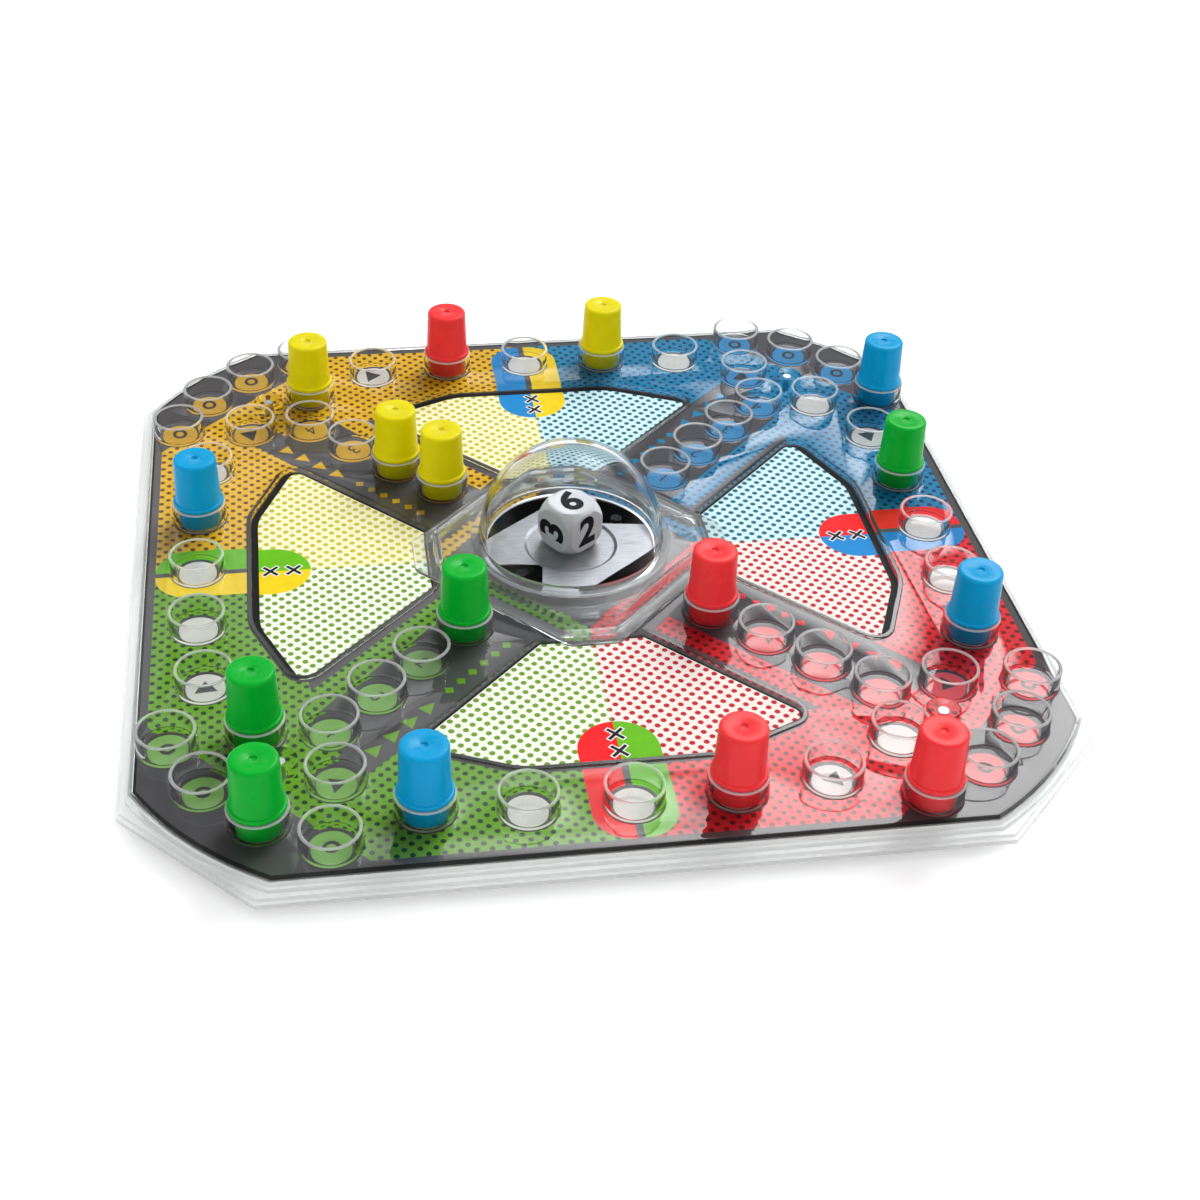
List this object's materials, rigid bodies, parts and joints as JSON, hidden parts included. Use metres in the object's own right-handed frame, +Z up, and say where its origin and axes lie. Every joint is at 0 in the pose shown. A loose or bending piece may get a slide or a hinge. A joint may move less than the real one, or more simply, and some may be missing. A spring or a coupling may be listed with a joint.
{
  "type": "pop-up dice board game",
  "caption": "Clear-cased race board game: a domed press-and-pop die in the middle, cups round the board and lift-out pegs in four colours.",
  "frame": {"origin": "under the middle of the board, on the surface that the tray rests on", "axes": "+Z up; +Y away from the side that the picture's viewer sees; the red corner is at +X -Y"},
  "size_m": [0.2694, 0.2694, 0.0464],
  "materials": {
    "clear_plastic": "clear polished polystyrene",
    "card": "printed, satin",
    "black_plastic": "moulded, satin",
    "spring_steel": "finely brushed",
    "screw_steel": "bright zinc plate",
    "die_plastic": "white, printed black",
    "red_plastic": "moulded, satin gloss",
    "blue_plastic": "moulded, satin gloss",
    "yellow_plastic": "moulded, satin gloss",
    "green_plastic": "moulded, satin gloss"
  },
  "bodies": {
    "board": {"base_tray": "clear_plastic", "printed_card": "card", "top_cover": "clear_plastic", "track_cups": "clear_plastic", "home_cups": "clear_plastic", "finish_cups": "clear_plastic", "dome_housing": "clear_plastic", "plate_cradle": "black_plastic", "snap_plate": "spring_steel", "corner_screws": "screw_steel"},
    "dome": {"dome": "clear_plastic"},
    "die": {"die": "die_plastic"},
    "peg_red_1": {"peg_red_1": "red_plastic"},
    "peg_red_2": {"peg_red_2": "red_plastic"},
    "peg_red_3": {"peg_red_3": "red_plastic"},
    "peg_red_4": {"peg_red_4": "red_plastic"},
    "peg_blue_1": {"peg_blue_1": "blue_plastic"},
    "peg_blue_2": {"peg_blue_2": "blue_plastic"},
    "peg_blue_3": {"peg_blue_3": "blue_plastic"},
    "peg_blue_4": {"peg_blue_4": "blue_plastic"},
    "peg_yellow_1": {"peg_yellow_1": "yellow_plastic"},
    "peg_yellow_2": {"peg_yellow_2": "yellow_plastic"},
    "peg_yellow_3": {"peg_yellow_3": "yellow_plastic"},
    "peg_yellow_4": {"peg_yellow_4": "yellow_plastic"},
    "peg_green_1": {"peg_green_1": "green_plastic"},
    "peg_green_2": {"peg_green_2": "green_plastic"},
    "peg_green_3": {"peg_green_3": "green_plastic"},
    "peg_green_4": {"peg_green_4": "green_plastic"}
  },
  "joints": [
    {"name": "dome_press", "type": "slide", "parent": "board", "child": "dome", "axis": [0, 0, -1], "range_m": [0, 0.003], "stiffness_N_per_m": 3000, "deforming": ["snap_plate"]},
    {"name": "die_hop", "type": "slide", "parent": "board", "child": "die", "axis": [0, 0, 1], "range_m": [0, 0.01]},
    {"name": "peg_red_1_lift", "type": "slide", "parent": "board", "child": "peg_red_1", "axis": [0, 0, 1], "range_m": [0, 0.02]},
    {"name": "peg_red_2_lift", "type": "slide", "parent": "board", "child": "peg_red_2", "axis": [0, 0, 1], "range_m": [0, 0.02]},
    {"name": "peg_red_3_lift", "type": "slide", "parent": "board", "child": "peg_red_3", "axis": [0, 0, 1], "range_m": [0, 0.02]},
    {"name": "peg_red_4_lift", "type": "slide", "parent": "board", "child": "peg_red_4", "axis": [0, 0, 1], "range_m": [0, 0.02]},
    {"name": "peg_blue_1_lift", "type": "slide", "parent": "board", "child": "peg_blue_1", "axis": [0, 0, 1], "range_m": [0, 0.02]},
    {"name": "peg_blue_2_lift", "type": "slide", "parent": "board", "child": "peg_blue_2", "axis": [0, 0, 1], "range_m": [0, 0.02]},
    {"name": "peg_blue_3_lift", "type": "slide", "parent": "board", "child": "peg_blue_3", "axis": [0, 0, 1], "range_m": [0, 0.02]},
    {"name": "peg_blue_4_lift", "type": "slide", "parent": "board", "child": "peg_blue_4", "axis": [0, 0, 1], "range_m": [0, 0.02]},
    {"name": "peg_yellow_1_lift", "type": "slide", "parent": "board", "child": "peg_yellow_1", "axis": [0, 0, 1], "range_m": [0, 0.02]},
    {"name": "peg_yellow_2_lift", "type": "slide", "parent": "board", "child": "peg_yellow_2", "axis": [0, 0, 1], "range_m": [0, 0.02]},
    {"name": "peg_yellow_3_lift", "type": "slide", "parent": "board", "child": "peg_yellow_3", "axis": [0, 0, 1], "range_m": [0, 0.02]},
    {"name": "peg_yellow_4_lift", "type": "slide", "parent": "board", "child": "peg_yellow_4", "axis": [0, 0, 1], "range_m": [0, 0.02]},
    {"name": "peg_green_1_lift", "type": "slide", "parent": "board", "child": "peg_green_1", "axis": [0, 0, 1], "range_m": [0, 0.02]},
    {"name": "peg_green_2_lift", "type": "slide", "parent": "board", "child": "peg_green_2", "axis": [0, 0, 1], "range_m": [0, 0.02]},
    {"name": "peg_green_3_lift", "type": "slide", "parent": "board", "child": "peg_green_3", "axis": [0, 0, 1], "range_m": [0, 0.02]},
    {"name": "peg_green_4_lift", "type": "slide", "parent": "board", "child": "peg_green_4", "axis": [0, 0, 1], "range_m": [0, 0.02]}
  ]
}
